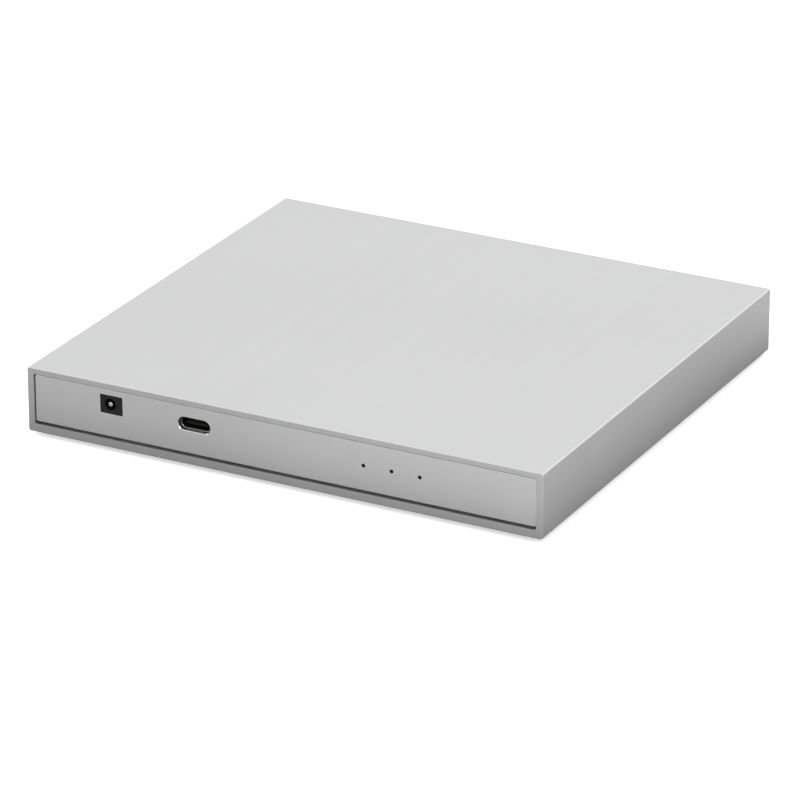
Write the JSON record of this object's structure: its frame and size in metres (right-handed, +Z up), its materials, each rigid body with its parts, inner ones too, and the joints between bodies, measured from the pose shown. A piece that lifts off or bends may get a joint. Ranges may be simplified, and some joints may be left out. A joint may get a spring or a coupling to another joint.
{
  "type": "dual-bay hard drive enclosure",
  "caption": "Flat aluminium sleeve enclosure for two small drives side by side; its socket panel, tray and circuit board slide out of one end as a unit.",
  "frame": {"origin": "on the table, under the middle of the enclosure, level with the undersides of the feet", "axes": "+X to the right of someone who faces the socket panel, +Y from the socket panel to the rear, +Z up"},
  "size_m": [0.148, 0.1382, 0.019],
  "materials": {
    "anodised_aluminium": "fine bead-blasted, clear anodised",
    "sheet_aluminium": "plain rolled sheet, passivated",
    "black_screw_steel": "black oxide",
    "plain_screw_steel": "nickel plated",
    "shell_steel": "drawn, bright",
    "brass": "turned, bright",
    "foot_rubber": "matte",
    "board_laminate": "solder mask, satin",
    "black_moulding": "moulded, satin",
    "chip_black": "moulded, matte",
    "contact_gold": "gold flash",
    "lamp_plastic": "milky, glossy",
    "switch_red": "moulded, satin",
    "slider_white": "moulded, satin",
    "coil_grey": "pressed powder, matte",
    "capacitor_ochre": "moulded, satin",
    "ceramic_tan": "fired, satin",
    "crystal_steel": "lidded, satin"
  },
  "bodies": {
    "enclosure": {"sleeve": "anodised_aluminium", "rear_panel": "anodised_aluminium", "rear_screws": "black_screw_steel", "foot_front_left": "foot_rubber", "foot_front_right": "foot_rubber", "foot_rear_left": "foot_rubber", "foot_rear_right": "foot_rubber"},
    "tray": {"front_panel": "anodised_aluminium", "front_panel_screws": "plain_screw_steel", "drive_tray": "sheet_aluminium", "clinch_nuts": "plain_screw_steel", "board_standoffs": "brass", "board_screws": "plain_screw_steel", "main_board": "board_laminate", "usb_c_shell": "shell_steel", "usb_c_insulator": "black_moulding", "usb_c_contacts": "contact_gold", "dc_jack_housing": "black_moulding", "dc_jack_pin": "plain_screw_steel", "dc_jack_spring": "plain_screw_steel", "power_led": "lamp_plastic", "drive_led_left": "lamp_plastic", "drive_led_right": "lamp_plastic", "sata_receptacle_left": "black_moulding", "sata_receptacle_right": "black_moulding", "sata_contacts_left": "contact_gold", "sata_contacts_right": "contact_gold", "mode_switch_housing": "switch_red", "bridge_chip": "chip_black", "firmware_chip": "chip_black", "crystal": "crystal_steel", "regulator_left": "chip_black", "regulator_right": "chip_black", "power_coil_left": "coil_grey", "power_coil_right": "coil_grey", "power_capacitor_left": "capacitor_ochre", "power_capacitor_right": "capacitor_ochre", "chip_capacitors": "ceramic_tan", "chip_resistors": "chip_black"},
    "slider_1": {"mode_slider_1": "slider_white"},
    "slider_2": {"mode_slider_2": "slider_white"}
  },
  "joints": [
    {"name": "tray_slide", "type": "slide", "parent": "enclosure", "child": "tray", "axis": [0, -1, 0], "range_m": [0, 0.13]},
    {"name": "mode_slider_1_slide", "type": "slide", "parent": "tray", "child": "slider_1", "axis": [0, 1, 0], "range_m": [0, 0.0012]},
    {"name": "mode_slider_2_slide", "type": "slide", "parent": "tray", "child": "slider_2", "axis": [0, 1, 0], "range_m": [0, 0.0012]}
  ]
}
